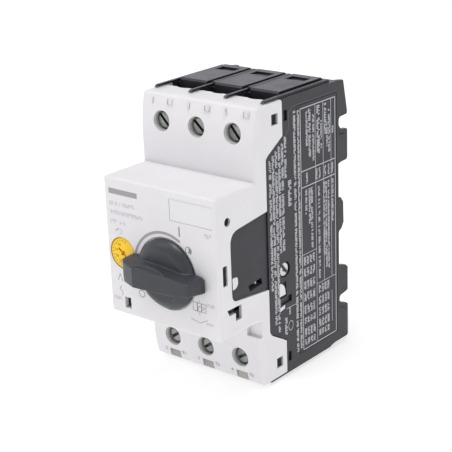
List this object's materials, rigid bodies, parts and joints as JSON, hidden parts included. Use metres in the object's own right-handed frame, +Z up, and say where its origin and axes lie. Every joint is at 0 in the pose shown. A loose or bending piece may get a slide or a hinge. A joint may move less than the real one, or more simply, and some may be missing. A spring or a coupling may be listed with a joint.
{
  "type": "motor protection breaker",
  "caption": "Three-pole motor protection breaker with a rotary handle, setting dial, screw terminals and a clip-on rail mount.",
  "frame": {"origin": "centre of the bounding box's underside", "axes": "+X to the right of someone facing the front plate, +Y from the front plate to the mounting rail, +Z up"},
  "size_m": [0.045, 0.0758, 0.093],
  "materials": {
    "white_plastic": "satin moulded",
    "black_plastic": "satin moulded",
    "handle_plastic": "fine satin",
    "yellow_plastic": "semi-gloss",
    "inner_plastic": "matte glass-filled",
    "label_white": "printed plate",
    "label_black": "printed film",
    "steel": "zinc plated",
    "copper": "bare copper alloy",
    "bimetal_strip": "rolled strip"
  },
  "bodies": {
    "housing": {"front_cover": "white_plastic", "base_housing": "black_plastic", "middle_plate": "inner_plastic", "mechanism_frame": "steel", "latch_spring": "steel", "rail_spring": "steel", "label_plate": "label_white", "side_label": "label_black", "arc_chute_1": "steel", "arc_chute_2": "steel", "arc_chute_3": "steel", "line_terminal_1": "copper", "line_terminal_2": "copper", "line_terminal_3": "copper", "lower_contact_1": "copper", "lower_contact_2": "copper", "lower_contact_3": "copper", "load_terminal_1": "copper", "load_terminal_2": "copper", "load_terminal_3": "copper", "magnet_coil_1": "copper", "magnet_coil_2": "copper", "magnet_coil_3": "copper", "magnet_yoke_1": "steel", "magnet_yoke_2": "steel", "magnet_yoke_3": "steel", "bimetal_1": "bimetal_strip", "bimetal_2": "bimetal_strip", "bimetal_3": "bimetal_strip"},
    "handle": {"rotary_handle": "handle_plastic", "handle_shaft": "steel"},
    "dial": {"setting_dial": "yellow_plastic"},
    "drive": {"drive_shaft": "white_plastic"},
    "carrier": {"contact_carrier": "inner_plastic", "contact_bridge_1": "copper", "contact_bridge_2": "copper", "contact_bridge_3": "copper", "contact_spring_1": "steel", "contact_spring_2": "steel", "contact_spring_3": "steel"},
    "trip": {"trip_bar": "white_plastic", "test_lever": "inner_plastic"},
    "latch": {"latch_lever": "steel"},
    "rail_slider": {"rail_latch": "black_plastic"},
    "plunger_1": {"magnet_plunger_1": "steel"},
    "plunger_2": {"magnet_plunger_2": "steel"},
    "plunger_3": {"magnet_plunger_3": "steel"},
    "clamp_1": {"clamp_plate_1": "steel"},
    "screw_1": {"terminal_screw_1": "steel"},
    "clamp_2": {"clamp_plate_2": "steel"},
    "screw_2": {"terminal_screw_2": "steel"},
    "clamp_3": {"clamp_plate_3": "steel"},
    "screw_3": {"terminal_screw_3": "steel"},
    "clamp_4": {"clamp_plate_4": "steel"},
    "screw_4": {"terminal_screw_4": "steel"},
    "clamp_5": {"clamp_plate_5": "steel"},
    "screw_5": {"terminal_screw_5": "steel"},
    "clamp_6": {"clamp_plate_6": "steel"},
    "screw_6": {"terminal_screw_6": "steel"}
  },
  "joints": [
    {"name": "handle_turn", "type": "hinge", "parent": "housing", "child": "handle", "pos_m": [0.0022, -0.0299, 0.0419], "axis": [0, 1, 0], "range_deg": [0, 90]},
    {"name": "drive_shaft_turn", "type": "hinge", "parent": "housing", "child": "drive", "pos_m": [0, 0.0024, 0.0371], "axis": [-1, 0, 0], "range_deg": [0, 7.8]},
    {"name": "contact_slide", "type": "slide", "parent": "housing", "child": "carrier", "axis": [0, 1, 0], "range_m": [0, 0.003]},
    {"name": "dial_turn", "type": "hinge", "parent": "housing", "child": "dial", "pos_m": [-0.016, -0.0299, 0.0446], "axis": [0, 1, 0], "range_deg": [-135, 135]},
    {"name": "trip_slide", "type": "slide", "parent": "housing", "child": "trip", "axis": [1, 0, 0], "range_m": [0, 0.0012], "stiffness_N_per_m": 200},
    {"name": "latch_turn", "type": "hinge", "parent": "housing", "child": "latch", "pos_m": [0.0126, -0.0059, 0.0515], "axis": [0, -1, 0], "range_deg": [0, 3.62]},
    {"name": "rail_latch_slide", "type": "slide", "parent": "housing", "child": "rail_slider", "axis": [0, 0, -1], "range_m": [0, 0.003], "stiffness_N_per_m": 400, "springref_m": -0.001},
    {"name": "plunger_1_slide", "type": "slide", "parent": "housing", "child": "plunger_1", "axis": [0, -1, 0], "range_m": [0, 0.003], "stiffness_N_per_m": 60},
    {"name": "plunger_2_slide", "type": "slide", "parent": "housing", "child": "plunger_2", "axis": [0, -1, 0], "range_m": [0, 0.003], "stiffness_N_per_m": 60},
    {"name": "plunger_3_slide", "type": "slide", "parent": "housing", "child": "plunger_3", "axis": [0, -1, 0], "range_m": [0, 0.003], "stiffness_N_per_m": 60},
    {"name": "clamp_1_slide", "type": "slide", "parent": "housing", "child": "clamp_1", "axis": [0, 1, 0], "range_m": [0, 0.0028]},
    {"name": "screw_1_turn", "type": "hinge", "parent": "clamp_1", "child": "screw_1", "pos_m": [-0.0141, -0.0049, 0.083], "axis": [0, 1, 0], "range_deg": [0, 1440]},
    {"name": "clamp_2_slide", "type": "slide", "parent": "housing", "child": "clamp_2", "axis": [0, 1, 0], "range_m": [0, 0.0028]},
    {"name": "screw_2_turn", "type": "hinge", "parent": "clamp_2", "child": "screw_2", "pos_m": [0, -0.0049, 0.083], "axis": [0, 1, 0], "range_deg": [0, 1440]},
    {"name": "clamp_3_slide", "type": "slide", "parent": "housing", "child": "clamp_3", "axis": [0, 1, 0], "range_m": [0, 0.0028]},
    {"name": "screw_3_turn", "type": "hinge", "parent": "clamp_3", "child": "screw_3", "pos_m": [0.0141, -0.0049, 0.083], "axis": [0, 1, 0], "range_deg": [0, 1440]},
    {"name": "clamp_4_slide", "type": "slide", "parent": "housing", "child": "clamp_4", "axis": [0, 1, 0], "range_m": [0, 0.0028]},
    {"name": "screw_4_turn", "type": "hinge", "parent": "clamp_4", "child": "screw_4", "pos_m": [-0.0141, -0.0049, 0.01], "axis": [0, 1, 0], "range_deg": [0, 1440]},
    {"name": "clamp_5_slide", "type": "slide", "parent": "housing", "child": "clamp_5", "axis": [0, 1, 0], "range_m": [0, 0.0028]},
    {"name": "screw_5_turn", "type": "hinge", "parent": "clamp_5", "child": "screw_5", "pos_m": [0, -0.0049, 0.01], "axis": [0, 1, 0], "range_deg": [0, 1440]},
    {"name": "clamp_6_slide", "type": "slide", "parent": "housing", "child": "clamp_6", "axis": [0, 1, 0], "range_m": [0, 0.0028]},
    {"name": "screw_6_turn", "type": "hinge", "parent": "clamp_6", "child": "screw_6", "pos_m": [0.0141, -0.0049, 0.01], "axis": [0, 1, 0], "range_deg": [0, 1440]}
  ],
  "couplings": [
    {"joint": "drive_shaft_turn", "follows": "contact_slide", "rad_per_m": 45.3},
    {"joint": "handle_turn", "follows": "contact_slide", "rad_per_m": 523.5},
    {"joint": "latch_turn", "follows": "trip_slide", "rad_per_m": 52.4},
    {"joint": "screw_1_turn", "follows": "clamp_1_slide", "rad_per_m": 8970},
    {"joint": "screw_2_turn", "follows": "clamp_2_slide", "rad_per_m": 8970},
    {"joint": "screw_3_turn", "follows": "clamp_3_slide", "rad_per_m": 8970},
    {"joint": "screw_4_turn", "follows": "clamp_4_slide", "rad_per_m": 8970},
    {"joint": "screw_5_turn", "follows": "clamp_5_slide", "rad_per_m": 8970},
    {"joint": "screw_6_turn", "follows": "clamp_6_slide", "rad_per_m": 8970}
  ]
}
